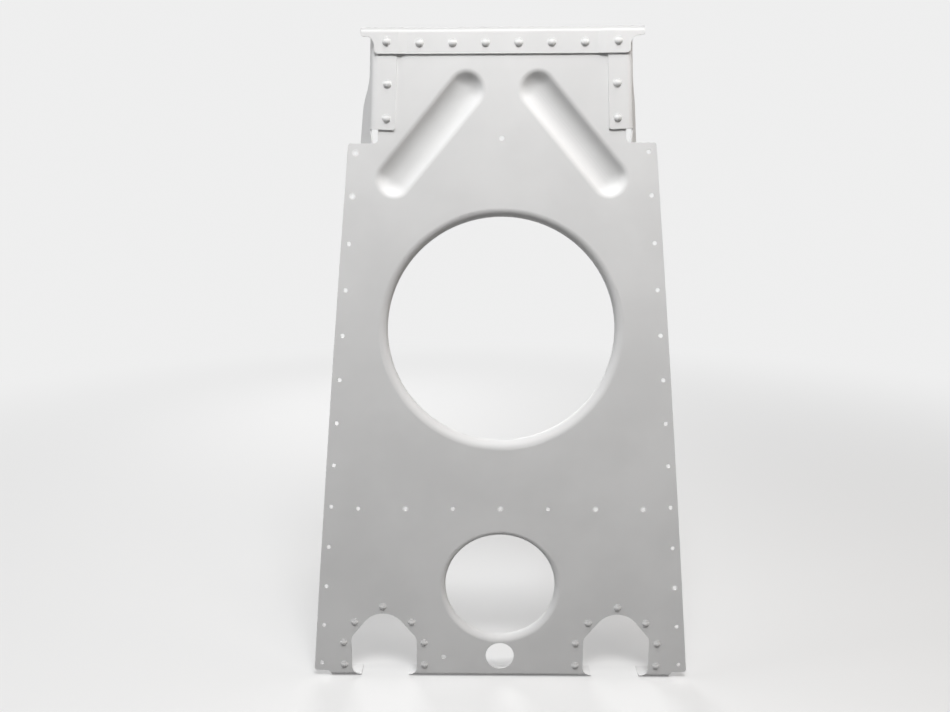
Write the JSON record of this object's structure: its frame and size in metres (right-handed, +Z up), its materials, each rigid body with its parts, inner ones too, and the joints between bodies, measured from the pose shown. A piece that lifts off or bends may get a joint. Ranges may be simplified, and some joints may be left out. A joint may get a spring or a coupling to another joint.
{
  "type": "stabilizer bulkhead",
  "caption": "Tapered sheet-metal bulkhead with flanged lightening holes, pressed diagonal beads, arched foot cut-outs, a narrow neck and a riveted cap.",
  "frame": {"origin": "the middle hole of the cross row, on the web's front face", "axes": "+Z up along the centreline, +Y aft, the way the flanges turn, +X to the right of someone who looks at the front face"},
  "size_m": [0.3116, 0.0302, 0.5141],
  "materials": {
    "sheet": "matte light grey coating on aluminium alloy sheet",
    "rivets": "satin light grey coating on driven aluminium rivets"
  },
  "bodies": {
    "root": {"web": "sheet", "top_cap": "sheet", "left_neck_angle": "sheet", "left_arch_doubler": "sheet", "left_neck_rivet_1": "rivets", "left_neck_rivet_2": "rivets", "left_arch_rivet_1": "rivets", "left_arch_rivet_2": "rivets", "left_arch_rivet_3": "rivets", "left_arch_rivet_4": "rivets", "left_arch_rivet_5": "rivets", "left_arch_rivet_6": "rivets", "left_arch_rivet_7": "rivets", "right_neck_angle": "sheet", "right_arch_doubler": "sheet", "right_neck_rivet_1": "rivets", "right_neck_rivet_2": "rivets", "right_arch_rivet_1": "rivets", "right_arch_rivet_2": "rivets", "right_arch_rivet_3": "rivets", "right_arch_rivet_4": "rivets", "right_arch_rivet_5": "rivets", "right_arch_rivet_6": "rivets", "right_arch_rivet_7": "rivets", "cap_rivet_1": "rivets", "cap_rivet_2": "rivets", "cap_rivet_3": "rivets", "cap_rivet_4": "rivets", "cap_rivet_5": "rivets", "cap_rivet_6": "rivets", "cap_rivet_7": "rivets", "cap_rivet_8": "rivets"}
  },
  "joints": []
}
